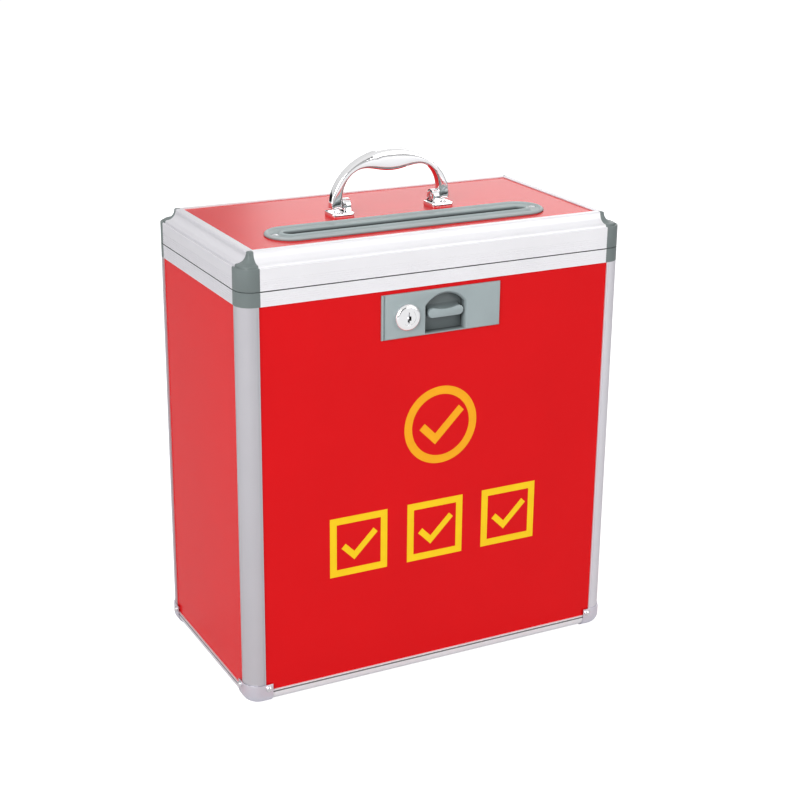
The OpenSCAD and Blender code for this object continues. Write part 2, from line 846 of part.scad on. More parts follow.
module lock_barrel() {
    front = face_y - plate_proud;
    color(bright_steel) translate([-lock_x, 0, lock_z]) rotate([90, 0, 0]) difference() {
        union() {
            translate([0, 0, -barrel_end]) cylinder(r = barrel_r, h = barrel_end - front + 1);
            translate([0, 0, -front]) rotate_extrude() intersection() {
                union() {
                    square([collar_d / 2 - collar_edge, collar_out - plate_proud]);
                    translate([collar_d / 2 - collar_edge, collar_out - plate_proud - collar_edge])
                        circle(collar_edge);
                    square([collar_d / 2, collar_out - plate_proud - collar_edge]);
                }
                square([collar_d, collar_d]);
            }
        }
        translate([0, 0, -barrel_end - 1])
            cylinder(r = plug_r + hole_gap, h = barrel_end - front + collar_out + 2);
    }
}

module lock_nut() {
    color(steel) translate([-lock_x, panel_in, lock_z]) rotate([-90, 0, 0]) difference() {
        cylinder(r = 11.4, h = 3.2, $fn = 6);
        translate([0, 0, -1]) cylinder(r = barrel_r + hole_gap, h = 6);
    }
}

module lock_plug() {
    front = -face_y + collar_out - 0.3;
    color(bright_steel) translate([-lock_x, 0, lock_z]) rotate([90, 0, 0]) difference() {
        union() {
            translate([0, 0, -barrel_end]) cylinder(r = plug_r, h = front + barrel_end);
            translate([-3, -3, -cam_y - cam_t + 0.2]) cube([6, 6, cam_t + 1]);
        }
        // Keyway with one ward
        translate([-1.3, -4.7, front - 9]) cube([1.8, 9.4, 10]);
        translate([0, -2.6, front - 9]) cube([2.2, 4, 10]);
        translate([0, 0, -cam_y - cam_t - 1]) cylinder(r = 1.25, h = 6);
    }
}

module lock_cam() {
    color(steel) translate([-lock_x, cam_y, lock_z]) difference() {
        union() {
            rotate([-90, 0, 0]) cylinder(r = 7, h = cam_t);
            translate([-cam_tip, 0, -cam_w / 2]) cube([cam_tip, cam_t, cam_w]);
            // Nose that passes over the strike
            translate([-cam_tip, nose_tip - cam_y, -3]) cube([3.2, cam_y - nose_tip + cam_t, 6]);
        }
        translate([-3.05, -1, -3.05]) cube([6.1, 5, 6.1]);
    }
}

module cam_screw() {
    color(steel) translate([-lock_x, cam_y + cam_t, lock_z]) rotate([-90, 0, 0]) {
        rotate_extrude() intersection() {
            translate([0, -6]) circle(7.8);
            square([4.8, 3]);
        }
        translate([0, 0, -4.5]) cylinder(r = 1.2, h = 4.6);
    }
}

// Finger bar, with its waisted top edge, seen from the front
module bar_outline() {
    half = recess_w / 2 - 2.1;
    end_r = bar_h / 2;
    difference() {
        union() {
            for (s = [-1, 1]) translate([s * (half - end_r), end_r]) circle(end_r);
            translate([end_r - half, 0]) square([2 * half - 2 * end_r, bar_h]);
        }
        translate([0, bar_h + 38.4]) circle(40);
    }
}

module latch_button() {
    front = face_y - plate_proud;
    thumb = 8.6;
    color(plastic_grey) {
        translate([recess_x - slide_w / 2, slide_y, slide_bottom])
            cube([slide_w, slide_t, slide_top - slide_bottom]);
        translate([recess_x, front + 3.6, bar_z]) rotate([90, 0, 0]) linear_extrude(3.6) bar_outline();
        // Thumb rest that joins the bar to the slide
        difference() {
            translate([recess_x - 15.6, front + 2, bar_z + 0.4])
                cube([31.2, slide_y - front - 1.9, bar_h + 3.6]);
            translate([recess_x - 20, front + 2, bar_z + bar_h - 2 + thumb]) rotate([0, 90, 0])
                cylinder(r = thumb, h = 40);
        }
        // Nub that pushes the hook, and the shelf that the spring stands under
        translate([recess_x - hook_w / 2 + 1, slide_y + slide_t - 1, nub_z - 1])
            cube([hook_w - 2, hook_y - slide_y - slide_t + 0.7, 2]);
        translate([spring_x - 3, slide_y + slide_t - 1, shelf_z])
            cube([6, spring_y + 2.6 - slide_y - slide_t + 1, 2]);
    }
}

module latch_hook() {
    pad_low = nub_z - hook_pin_z - button_travel;
    pad = pad_low * tan(hook_swing);
    rear = hook_y + hook_t;
    color(steel) difference() {
        union() {
            translate([recess_x - hook_w / 2, 0, 0]) rotate([90, 0, 90]) linear_extrude(hook_w)
                polygon([
                    [hook_y, hook_pin_z], [hook_y, hook_pin_z + pad_low - 2.5],
                    [hook_y - pad, hook_pin_z + pad_low - 1.2], [hook_y - pad, hook_pin_z + pad_low],
                    [hook_y, hook_pin_z + pad_low + button_travel], [hook_y, nose_z],
                    [nose_tip, nose_z], [nose_tip, nose_z + 1], [nose_tip + 2.6, nose_z + nose_h],
                    [rear, nose_z + nose_h], [rear, hook_pin_z]
                ]);
            translate([recess_x - hook_w / 2, hook_pin_y, hook_pin_z]) rotate([0, 90, 0])
                cylinder(r = hook_eye, h = hook_w);
        }
        translate([recess_x - hook_w, hook_pin_y, hook_pin_z]) rotate([0, 90, 0])
            cylinder(r = hook_pin_r + hole_gap, h = 2 * hook_w);
    }
}

module latch_pin() {
    color(steel) translate([recess_x, hook_pin_y, hook_pin_z]) rotate([0, 90, 0])
        cylinder(r = hook_pin_r, h = hook_w + 0.8 + 2 * cheek_t + 0.6, center = true);
}

// Return spring, wound between the floor of the lock's case and the button's shelf
module latch_spring() {
    bottom = case_z1 + case_wall;
    height = shelf_z - bottom - spring_wire;
    coil_sides = 6;
    steps = 10 * spring_turns;
    mean_r = spring_r - spring_wire / 2;
    points = [
        for (i = [0:steps], k = [0:coil_sides - 1])
            let (
                a = 360 * spring_turns * i / steps,
                b = 360 * k / coil_sides,
                r = mean_r + spring_wire / 2 * cos(b)
            )
            [r * cos(a), r * sin(a), height * i / steps + spring_wire / 2 * sin(b)]
    ];
    walls = [
        for (i = [0:steps - 1], k = [0:coil_sides - 1])
            let (a = i * coil_sides + k, b = i * coil_sides + (k + 1) % coil_sides)
            each [[a, b, a + coil_sides], [b, b + coil_sides, a + coil_sides]]
    ];
    ends = [
        [for (k = [coil_sides - 1:-1:0]) k],
        [for (k = [0:coil_sides - 1]) steps * coil_sides + k]
    ];
    color(steel) translate([spring_x, spring_y, bottom + spring_wire / 2])
        polyhedron(points, concat(walls, ends), convexity = 10);
}

module strike_rivet_spots() {
    for (x = strike_rivet_x) translate([x, strike_y, seam_z + 15]) rotate([90, 0, 0]) children();
}

module strike_plate() {
    window_z = strike_z1 + strike_bar;
    top = seam_z + ledge_z - 1;
    left = -lock_x + 6;
    right = recess_x + hook_w / 2 + 13;
    color(steel) difference() {
        union() {
            translate([left, strike_y, strike_z1]) cube([right - left, strike_t, top - strike_z1]);
            translate([strike_x1, strike_y, strike_z1]) cube([left - strike_x1 + 1, strike_t, strike_bar]);
        }
        translate([recess_x - hook_w / 2 - 1, strike_y - 1, window_z]) cube([hook_w + 2, 4, 5]);
        strike_rivet_spots() cylinder(r = rivet_r + hole_gap, h = 6, center = true);
    }
}

module lid_rivets() {
    color(bright_steel) {
        strike_rivet_spots() translate([0, 0, -strike_t]) mirror([0, 0, 1]) rivet(strike_t + skin);
        hinge_rivet_spots(1) translate([0, 0, leaf_t]) rivet(leaf_t + skin);
    }
}

// Hinges

module at_hinges() {
    for (s = [-1, 1]) translate([s * hinge_x, hinge_y, seam_z]) children();
}

module hinge_rivet_spots(way) {
    for (s = [-1, 1], x = [-hinge_w / 2 + 7, hinge_w / 2 - 7])
        translate([s * hinge_x + x, case_d / 2, seam_z + (way < 0 ? body_rivet_z : lid_rivet_z)])
            rotate([-90, 0, 0]) children();
}

// One leaf with its knuckles: way is -1 for the body's leaf and 1 for the lid's
module hinge_leaf(way) {
    part_w = hinge_w / knuckles;
    first = way < 0 ? 0 : 1;
    leaf_y = case_d / 2 - hinge_y;
    rise = way < 0 ? 0 : seam_gap;
    difference() {
        union() {
            translate([-hinge_w / 2, leaf_y, way < 0 ? -leaf_h : rise + 0.6])
                cube([hinge_w, leaf_t, leaf_h - (way < 0 ? 0.6 : rise + 0.6)]);
            for (i = [first:2:knuckles - 1]) translate([-hinge_w / 2 + i * part_w + 0.15, 0, 0]) {
                rotate([0, 90, 0]) cylinder(r = knuckle_d / 2, h = part_w - 0.3);
                translate([0, leaf_y, way < 0 ? -3 : 0]) cube([part_w - 0.3, leaf_t, 3]);
                // Nose that meets the body's leaf when the lid is fully open
                if (way > 0) rotate([lid_swing - 90, 0, 0]) translate([0, 0, leaf_t + leaf_y + 0.05])
                    cube([part_w - 0.3, stop_reach, 2]);
            }
        }
        // Room for the other leaf's knuckles to turn
        for (i = [1 - first:2:knuckles - 1])
            translate([-hinge_w / 2 + i * part_w - 0.15, 0, 0]) rotate([0, 90, 0])
                cylinder(r = knuckle_d / 2 + 0.3, h = part_w + 0.3);
        rotate([0, 90, 0]) cylinder(r = hinge_pin_r + hole_gap, h = hinge_w + 2, center = true);
    }
}

module hinge_body_leaves() {
    color(steel) difference() {
        at_hinges() hinge_leaf(-1);
        hinge_rivet_spots(-1) cylinder(r = rivet_r + hole_gap, h = 6, center = true);
    }
}

module hinge_lid_leaves() {
    color(steel) difference() {
        at_hinges() hinge_leaf(1);
        hinge_rivet_spots(1) cylinder(r = rivet_r + hole_gap, h = 6, center = true);
    }
}

module hinge_pins() {
    color(bright_steel) at_hinges() rotate([0, 90, 0])
        cylinder(r = hinge_pin_r, h = hinge_w + 0.6, center = true);
}

front_panel();
rear_panel();
side_panel(3);  // left_panel
side_panel(1);  // right_panel
bottom_panel();
post(0);  // post_front_left
post(1);  // post_front_right
post(2);  // post_rear_right
post(3);  // post_rear_left
bottom_rail(0);  // bottom_rail_front
bottom_rail(1);  // bottom_rail_right
bottom_rail(2);  // bottom_rail_rear
bottom_rail(3);  // bottom_rail_left
band(0);  // band_front
band(1);  // band_right
band(2);  // band_rear
band(3);  // band_left
body_cap(0);  // body_cap_front_left
body_cap(1);  // body_cap_front_right
body_cap(2);  // body_cap_rear_right
body_cap(3);  // body_cap_rear_left
metal_corner(0);  // metal_corner_front_left
metal_corner(1);  // metal_corner_front_right
metal_corner(2);  // metal_corner_rear_right
metal_corner(3);  // metal_corner_rear_left
body_rivets();
lid_panel();
lid_rail(0);  // lid_rail_front
lid_rail(1);  // lid_rail_right
lid_rail(2);  // lid_rail_rear
lid_rail(3);  // lid_rail_left
lid_cap(0);  // lid_cap_front_left
lid_cap(1);  // lid_cap_front_right
lid_cap(2);  // lid_cap_rear_right
lid_cap(3);  // lid_cap_rear_left
slot_frame();
lid_screws();
lid_nuts();
handle_foot(-1);  // handle_foot_left
handle_foot(1);  // handle_foot_right
handle_pins();
handle_grip();
lock_housing();
lock_case();
lock_case_screws();
lock_barrel();
lock_nut();
lock_plug();
lock_cam();
cam_screw();
latch_button();
latch_hook();
latch_pin();
latch_spring();
strike_plate();
lid_rivets();
hinge_body_leaves();
hinge_lid_leaves();
hinge_pins();
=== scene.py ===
import json
import math

import bpy
from mathutils import Matrix, Vector


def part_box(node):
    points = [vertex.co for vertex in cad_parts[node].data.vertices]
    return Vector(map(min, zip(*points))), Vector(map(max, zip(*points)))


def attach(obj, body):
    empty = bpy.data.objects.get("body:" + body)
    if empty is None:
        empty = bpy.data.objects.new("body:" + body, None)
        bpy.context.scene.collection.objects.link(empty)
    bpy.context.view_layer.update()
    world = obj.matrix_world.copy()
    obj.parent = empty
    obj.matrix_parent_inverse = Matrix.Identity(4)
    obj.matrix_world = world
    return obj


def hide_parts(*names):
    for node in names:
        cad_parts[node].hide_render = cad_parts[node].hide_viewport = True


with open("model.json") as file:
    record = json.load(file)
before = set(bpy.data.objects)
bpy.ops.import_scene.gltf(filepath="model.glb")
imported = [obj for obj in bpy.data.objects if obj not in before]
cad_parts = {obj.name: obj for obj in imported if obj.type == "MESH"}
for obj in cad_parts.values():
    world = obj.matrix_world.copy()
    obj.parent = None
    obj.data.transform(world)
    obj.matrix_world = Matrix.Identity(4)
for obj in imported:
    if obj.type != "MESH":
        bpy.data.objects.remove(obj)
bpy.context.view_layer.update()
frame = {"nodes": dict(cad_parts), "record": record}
nodes = frame["nodes"]
bodies = frame["record"]["behaviour"]["bodies"]
print("frame loaded:", len(nodes), "nodes")


def bodyOf(node):
    return next(name for name, held in bodies.items() if node in held)


def nodesLike(*starts):
    return [name for name in nodes if name.startswith(starts)]


# Finishes: every pattern reads Object coordinates, so it stays on its piece

# A noise value is taken from noiseRange, because little of it lies outside
noiseRange = (0.3, 0.7)
noiseDetail = 3


def startFinish(name, look):
    material = bpy.data.materials.new(name)
    material.use_nodes = True
    shader = material.node_tree.nodes["Principled BSDF"]
    shader.inputs["Base Color"].default_value = (*look["colour"], 1)
    shader.inputs["Metallic"].default_value = look["metal"]
    shader.inputs["Roughness"].default_value = look["rough"][0]
    shader.inputs["Specular IOR Level"].default_value = look["specular"]
    return material, material.node_tree, shader


def addGrain(tree, size, stretch=(1, 1, 1)):
    place = tree.nodes.new("ShaderNodeTexCoord")
    turn = tree.nodes.new("ShaderNodeMapping")
    turn.inputs["Scale"].default_value = stretch
    noise = tree.nodes.new("ShaderNodeTexNoise")
    noise.inputs["Scale"].default_value = 1 / size
    noise.inputs["Detail"].default_value = noiseDetail
    tree.links.new(place.outputs["Object"], turn.inputs["Vector"])
    tree.links.new(turn.outputs["Vector"], noise.inputs["Vector"])
    return noise.outputs["Fac"]


def spread(tree, value, low, high):
    ranged = tree.nodes.new("ShaderNodeMapRange")
    ranged.inputs["From Min"].default_value = noiseRange[0]
    ranged.inputs["From Max"].default_value = noiseRange[1]
    ranged.inputs["To Min"].default_value = low
    ranged.inputs["To Max"].default_value = high
    tree.links.new(value, ranged.inputs["Value"])
    return ranged.outputs["Result"]


def tint(tree, shader, value, colour, change):
    ramp = tree.nodes.new("ShaderNodeValToRGB")
    darkEnd, lightEnd = ramp.color_ramp.elements
    darkEnd.position, lightEnd.position = noiseRange
    darkEnd.color = (*[c * (1 - change) for c in colour], 1)
    lightEnd.color = (*[min(c * (1 + change), 1) for c in colour], 1)
    tree.links.new(value, ramp.inputs["Fac"])
    tree.links.new(ramp.outputs["Color"], shader.inputs["Base Color"])


def addBump(tree, shader, value, depth):
    bump = tree.nodes.new("ShaderNodeBump")
    bump.inputs["Strength"].default_value = 1
    bump.inputs["Distance"].default_value = depth
    tree.links.new(value, bump.inputs["Height"])
    tree.links.new(bump.outputs["Normal"], shader.inputs["Normal"])


def placeAlong(tree, axis):
    place = tree.nodes.new("ShaderNodeTexCoord")
    apart = tree.nodes.new("ShaderNodeSeparateXYZ")
    tree.links.new(place.outputs["Object"], apart.inputs[0])
    return apart.outputs[axis]


# fadeOver and shadeBy paint light and shade into the base colour: a factor below 1 is painted
# shade, above 1 painted light.
def fadeOver(tree, value, start, end, low):
    fade = tree.nodes.new("ShaderNodeMapRange")
    fade.inputs["From Min"].default_value = start
    fade.inputs["From Max"].default_value = end
    fade.inputs["To Min"].default_value = 1
    fade.inputs["To Max"].default_value = low
    tree.links.new(value, fade.inputs["Value"])
    return fade.outputs["Result"]


def shadeBy(tree, shader, factor):
    scale = tree.nodes.new("ShaderNodeVectorMath")
    scale.operation = "SCALE"
    held = shader.inputs["Base Color"].links[0].from_socket
    tree.links.new(held, scale.inputs["Vector"])
    tree.links.new(factor, scale.inputs["Scale"])
    tree.links.new(scale.outputs["Vector"], shader.inputs["Base Color"])


# A painted shade line: the base colour is darkened between two coordinates.
def addPaintedShadeLine(tree, shader, line):
    inside = tree.nodes.new("ShaderNodeMath")
    inside.operation = "COMPARE"
    inside.inputs[1].default_value = (line["from"] + line["to"]) / 2
    inside.inputs[2].default_value = (line["to"] - line["from"]) / 2
    tree.links.new(placeAlong(tree, line["axis"]), inside.inputs[0])
    shadeBy(tree, shader, fadeOver(tree, inside.outputs[0], 0, 1, line["low"]))


def makeFinish(name, look):
    material, tree, shader = startFinish(name, look)
    grain = addGrain(tree, look["grain"], look["stretch"])
    cloud = addGrain(tree, look["cloud"])
    tint(tree, shader, cloud, look["colour"], look["change"])
    for fade in look.get("paintedShadeAndLight", []):
        spot = placeAlong(tree, fade["axis"])
        shadeBy(tree, shader, fadeOver(tree, spot, fade["from"], fade["to"], fade["low"]))
    for line in look.get("paintedShadeLines", []):
        addPaintedShadeLine(tree, shader, line)
    tree.links.new(spread(tree, grain, *look["rough"]), shader.inputs["Roughness"])
    addBump(tree, shader, grain, look["bump"])
    return material


# Brushed grain is stretched along one axis
along = {"X": (0.02, 1, 1), "Y": (1, 0.02, 1), "Z": (1, 1, 0.02), "none": (1, 1, 1)}

# A fade multiplies the colour by 1 at "from" and by "low" at "to": below 1 it is painted
# shade deepening into a hollow, above 1 painted light on the posts towards the right. A line is
# painted shade, the colour times "low" between "from" and "to": one in the lid's seam and one on
# the bottom rails.
redBoardLook = {
    "colour": (0.70, 0.006, 0.009), "metal": 0, "rough": (0.20, 0.26), "specular": 0.10,
    "grain": 0.0022, "stretch": along["none"], "cloud": 0.09, "change": 0.02, "bump": 0.000006,
}
# Painted shade lines: a dark line in the lid's 0.6 mm seam, and one 10 to 11.4 mm up the bottom
# rails.
railPaintedShadeLines = [
    {"axis": "Z", "from": 0.3767, "to": 0.3777, "low": 0.12},
    {"axis": "Z", "from": 0.0100, "to": 0.0114, "low": 0.25},
]
extrusionLook = {
    "metal": 0.4, "rough": (0.34, 0.46), "specular": 0.4,
    "grain": 0.0007, "cloud": 0.05, "change": 0.02, "bump": 0.000008,
}
# The rail and post copies of the one aluminium differ in colour as painted light and shade: the
# front and rear rails (X) lightest, the side rails (Y) darker, the posts (Z) darkest.
extrusionLitAndShadedLooks = {
    "X": {**extrusionLook, "colour": (0.82, 0.815, 0.84), "metal": 0.25,
          "stretch": along["X"], "paintedShadeLines": railPaintedShadeLines},
    "Y": {**extrusionLook, "colour": (0.72, 0.71, 0.745), "metal": 0.3,
          "stretch": along["Y"], "paintedShadeLines": railPaintedShadeLines},
    # The posts' fade is painted light: their colour rises to 1.4 times towards the right.
    "Z": {**extrusionLook, "colour": (0.50, 0.49, 0.52), "stretch": along["Z"],
          "paintedShadeAndLight": [{"axis": "X", "from": -0.1, "to": 0.17, "low": 1.4}]},
}
capLook = {
    "colour": (0.15, 0.18, 0.178), "metal": 0, "rough": (0.38, 0.50), "specular": 0.45,
    "grain": 0.0006, "stretch": along["none"], "cloud": 0.03, "change": 0.04, "bump": 0.000012,
}
# The plate's fade is painted shade: the lock recess darkens with depth behind the plate's face.
plateLook = {**capLook, "colour": (0.33, 0.39, 0.40),
             "paintedShadeAndLight": [{"axis": "Y", "from": -0.1008, "to": -0.0925, "low": 0.10}]}
# The latch's fade is painted shade: it darkens with depth in its recess.
latchLook = {**capLook, "colour": (0.33, 0.39, 0.40),
             "paintedShadeAndLight": [{"axis": "Y", "from": -0.1000, "to": -0.0930, "low": 0.36}]}
# The slot frame's fade is painted shade: it darkens down into the slot and along the rim's foot
# on the board.
slotFrameLook = {**capLook, "colour": (0.35, 0.41, 0.415),
                 "paintedShadeAndLight": [{"axis": "Z", "from": 0.4091, "to": 0.4060, "low": 0.08}]}
chromeLook = {
    "colour": (0.97, 0.97, 0.98), "metal": 1, "rough": (0.04, 0.07), "specular": 0.5,
    "grain": 0.006, "stretch": along["none"], "cloud": 0.02, "change": 0.01, "bump": 0.000002,
}
brightLook = {
    "colour": (0.70, 0.70, 0.72), "metal": 1, "rough": (0.24, 0.30), "specular": 0.5,
    "grain": 0.0009, "stretch": along["none"], "cloud": 0.01, "change": 0.03, "bump": 0.000006,
}
cornerLook = {**brightLook, "colour": (0.68, 0.665, 0.73), "rough": (0.28, 0.36)}
zincLook = {
    "colour": (0.58, 0.58, 0.60), "metal": 1, "rough": (0.28, 0.42), "specular": 0.5,
    "grain": 0.0008, "stretch": along["none"], "cloud": 0.008, "change": 0.06, "bump": 0.00001,
}

redBoard = makeFinish("redBoard", redBoardLook)
extrusion = {axis: makeFinish("extrusion" + axis, extrusionLitAndShadedLooks[axis]) for axis in "XYZ"}
capPlastic = makeFinish("capPlastic", capLook)
latchPlastic = makeFinish("latchPlastic", latchLook)
platePlastic = makeFinish("platePlastic", plateLook)
slotFramePlastic = makeFinish("slotFramePlastic", slotFrameLook)
chromePlate = makeFinish("chromePlate", chromeLook)
brightPlate = makeFinish("brightPlate", brightLook)
cornerPlate = makeFinish("cornerPlate", cornerLook)
zincPlate = makeFinish("zincPlate", zincLook)

finishes = {
    redBoard: nodesLike("front_panel", "rear_panel", "left_panel", "right_panel",
                        "bottom_panel", "lid_panel"),
    extrusion["X"]: ["bottom_rail_front", "bottom_rail_rear", "band_front", "band_rear",
                     "lid_rail_front", "lid_rail_rear"],
    extrusion["Y"]: ["bottom_rail_left", "bottom_rail_right", "band_left", "band_right",
                     "lid_rail_left", "lid_rail_right"],
    extrusion["Z"]: nodesLike("post_"),
    capPlastic: nodesLike("body_cap", "lid_cap"),
    platePlastic: ["lock_housing", "lock_case"],
    latchPlastic: ["latch_button"],
    slotFramePlastic: ["slot_frame"],
    chromePlate: ["handle_grip", "handle_foot_left", "handle_foot_right",
                  "lock_barrel", "lock_plug"],
    brightPlate: nodesLike("body_rivets", "lid_rivets", "lid_screws"),
    cornerPlate: nodesLike("metal_corner"),
    zincPlate: ["lid_nuts", "handle_pins", "lock_case_screws", "lock_nut", "lock_cam",
                "cam_screw", "latch_hook", "latch_pin", "latch_spring", "strike_plate",
                "hinge_body_leaves", "hinge_lid_leaves", "hinge_pins"],
}
for material, held in finishes.items():
    for name in held:
        for slot in nodes[name].material_slots:
            slot.material = material
print("finishes set")


# Edges: the moulded and pressed pieces get the small radii that catch the light

edgeSizes = {
    "weld": 0.000002, "flatAngle": 1, "bevelAngle": 34, "smoothAngle": 32, "bevelSteps": 2,
    "radii": {
        0.0006: nodesLike("lid_cap"),
        0.00045: ["slot_frame", "latch_button"],
        0.00035: ["lock_housing", "handle_foot_left", "handle_foot_right"],
        0.0003: nodesLike("metal_corner"),
    },
}


def pickNothing():
    bpy.ops.object.select_all(action="DESELECT")


def pickOnly(obj):
    pickNothing()
    obj.select_set(True)
    bpy.context.view_layer.objects.active = obj


def copyOf(node):
    source = nodes[node]
    copy = source.copy()
    copy.data = source.data.copy()
    copy.parent = None
    copy.name = node + "Finish"
    bpy.context.collection.objects.link(copy)
    pickOnly(copy)
    bpy.ops.object.mode_set(mode="EDIT")
    bpy.ops.mesh.select_all(action="SELECT")
    bpy.ops.mesh.remove_doubles(threshold=edgeSizes["weld"])
    bpy.ops.object.mode_set(mode="OBJECT")
    return copy


def standFor(piece, node):
    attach(piece, bodyOf(node))
    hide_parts(node)


def roundEdges(node, radius):
    piece = copyOf(node)
    bpy.ops.object.mode_set(mode="EDIT")
    bpy.ops.mesh.select_all(action="SELECT")
    bpy.ops.mesh.dissolve_limited(angle_limit=math.radians(edgeSizes["flatAngle"]))
    bpy.ops.object.mode_set(mode="OBJECT")
    bevel = piece.modifiers.new("edge", "BEVEL")
    bevel.width = radius
    bevel.segments = edgeSizes["bevelSteps"]
    bevel.limit_method = "ANGLE"
    bevel.angle_limit = math.radians(edgeSizes["bevelAngle"])
    bpy.ops.object.modifier_apply(modifier=bevel.name)
    bpy.ops.object.shade_smooth_by_angle(angle=math.radians(edgeSizes["smoothAngle"]))
    standFor(piece, node)


for radius, held in edgeSizes["radii"].items():
    for name in held:
        roundEdges(name, radius)
print("edges rounded")


# Handle: one smooth cast arch

gripSizes = {"quadFaceAngle": 30, "quadShapeAngle": 60, "levels": 2, "smoothAngle": 40}


def smoothGrip():
    piece = copyOf("handle_grip")
    bpy.ops.object.mode_set(mode="EDIT")
    bpy.ops.mesh.select_all(action="SELECT")
    bpy.ops.mesh.tris_convert_to_quads(
        face_threshold=math.radians(gripSizes["quadFaceAngle"]),
        shape_threshold=math.radians(gripSizes["quadShapeAngle"]))
    bpy.ops.object.mode_set(mode="OBJECT")
    smooth = piece.modifiers.new("smooth", "SUBSURF")
    smooth.levels = gripSizes["levels"]
    smooth.render_levels = gripSizes["levels"]
    bpy.ops.object.modifier_apply(modifier=smooth.name)
    bpy.ops.object.shade_smooth_by_angle(angle=math.radians(gripSizes["smoothAngle"]))
    standFor(piece, "handle_grip")


smoothGrip()
print("handle smoothed")


# Print on the front board: a ring with a tick, and a row of ticked boxes

# A tick's strokes are shares of its size
printSizes = {
    "lift": 0.00012,
    "ringCentre": (0.002, 0.2355), "ringRadius": 0.036, "ringBand": 0.0075, "ringCorners": 96,
    "ringTick": 0.030,
    "boxCentres": [(-0.078, 0.1365), (-0.002, 0.1365), (0.074, 0.1365)],
    "boxSide": 0.056, "boxBand": 0.0065, "boxTick": 0.024,
    "tickStroke": 0.24, "tickLong": 1.1, "tickShort": 0.5, "tickMove": (-0.18, -0.42),
}


inkLook = {
    "metal": 0, "rough": (0.32, 0.42), "specular": 0.3,
    "grain": 0.0015, "stretch": along["none"], "cloud": 0.02, "change": 0.03, "bump": 0.000004,
}


def makeInk(name, colour):
    return makeFinish(name, {**inkLook, "colour": colour})


def finishPrint(piece, centre, ink):
    bpy.ops.object.mode_set(mode="EDIT")
    bpy.ops.mesh.select_all(action="SELECT")
    bpy.ops.mesh.extrude_region_move(TRANSFORM_OT_translate={"value": (0, 0, printSizes["lift"])})
    bpy.ops.mesh.select_all(action="SELECT")
    bpy.ops.mesh.normals_make_consistent(inside=False)
    bpy.ops.object.mode_set(mode="OBJECT")
    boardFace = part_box("front_panel")[0][1]
    place = Matrix.Translation((centre[0], boardFace, centre[1]))
    piece.matrix_world = place @ Matrix.Rotation(math.pi / 2, 4, "X")
    bpy.ops.object.transform_apply(location=True, rotation=True, scale=True)
    piece.data.materials.append(ink)
    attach(piece, bodyOf("front_panel"))


def addRing(name, centre, radius, band, corners, turn, ink):
    pickNothing()
    bpy.ops.mesh.primitive_circle_add(vertices=corners, radius=radius, fill_type="NGON")
    piece = bpy.context.object
    piece.name = name
    bpy.ops.object.mode_set(mode="EDIT")
    bpy.ops.mesh.select_all(action="SELECT")
    bpy.ops.mesh.inset(thickness=band)
    bpy.ops.mesh.delete(type="FACE")
    bpy.ops.mesh.select_all(action="SELECT")
    bpy.ops.transform.rotate(value=turn, orient_axis="Z", center_override=(0, 0, 0))
    bpy.ops.object.mode_set(mode="OBJECT")
    finishPrint(piece, centre, ink)


def pickEdge(mesh, test):
    bpy.ops.mesh.select_all(action="DESELECT")
    bpy.ops.object.mode_set(mode="OBJECT")
    for edge in mesh.edges:
        edge.select = all(test(mesh.vertices[i].co) for i in edge.vertices)
    bpy.ops.object.mode_set(mode="EDIT")


def addTick(name, centre, size, ink):
    pickNothing()
    stroke = size * printSizes["tickStroke"]
    moveX, moveY = printSizes["tickMove"]
    bpy.ops.mesh.primitive_plane_add(size=stroke)
    piece = bpy.context.object
    piece.name = name
    bpy.ops.object.mode_set(mode="EDIT")
    bpy.ops.mesh.select_mode(type="EDGE")
    pickEdge(piece.data, lambda co: co.x > 0.4 * stroke)
    long = size * printSizes["tickLong"]
    bpy.ops.mesh.extrude_region_move(TRANSFORM_OT_translate={"value": (long, 0, 0)})
    pickEdge(piece.data, lambda co: co.y > 0.4 * stroke and co.x < 0.6 * stroke)
    short = size * printSizes["tickShort"]
    bpy.ops.mesh.extrude_region_move(TRANSFORM_OT_translate={"value": (0, short, 0)})
    bpy.ops.mesh.select_mode(type="VERT")
    bpy.ops.mesh.select_all(action="SELECT")
    bpy.ops.transform.rotate(value=-math.radians(45), orient_axis="Z", center_override=(0, 0, 0))
    bpy.ops.transform.translate(value=(size * moveX, size * moveY, 0))
    bpy.ops.object.mode_set(mode="OBJECT")
    finishPrint(piece, centre, ink)


orangeInk = makeInk("orangeInk", (0.93, 0.40, 0.004))
yellowInk = makeInk("yellowInk", (0.95, 0.62, 0.004))
addRing("ringPrint", printSizes["ringCentre"], printSizes["ringRadius"],
        printSizes["ringBand"], printSizes["ringCorners"], 0, orangeInk)
addTick("ringTickPrint", printSizes["ringCentre"], printSizes["ringTick"], orangeInk)
boxCorner = printSizes["boxSide"] / math.sqrt(2)
for count, centre in enumerate(printSizes["boxCentres"]):
    addRing("boxPrint%d" % count, centre, boxCorner,
            printSizes["boxBand"], 4, math.pi / 4, yellowInk)
    addTick("boxTickPrint%d" % count, centre, printSizes["boxTick"], yellowInk)
print("print laid on")


# Studio: floor, world, lamps, cards and camera

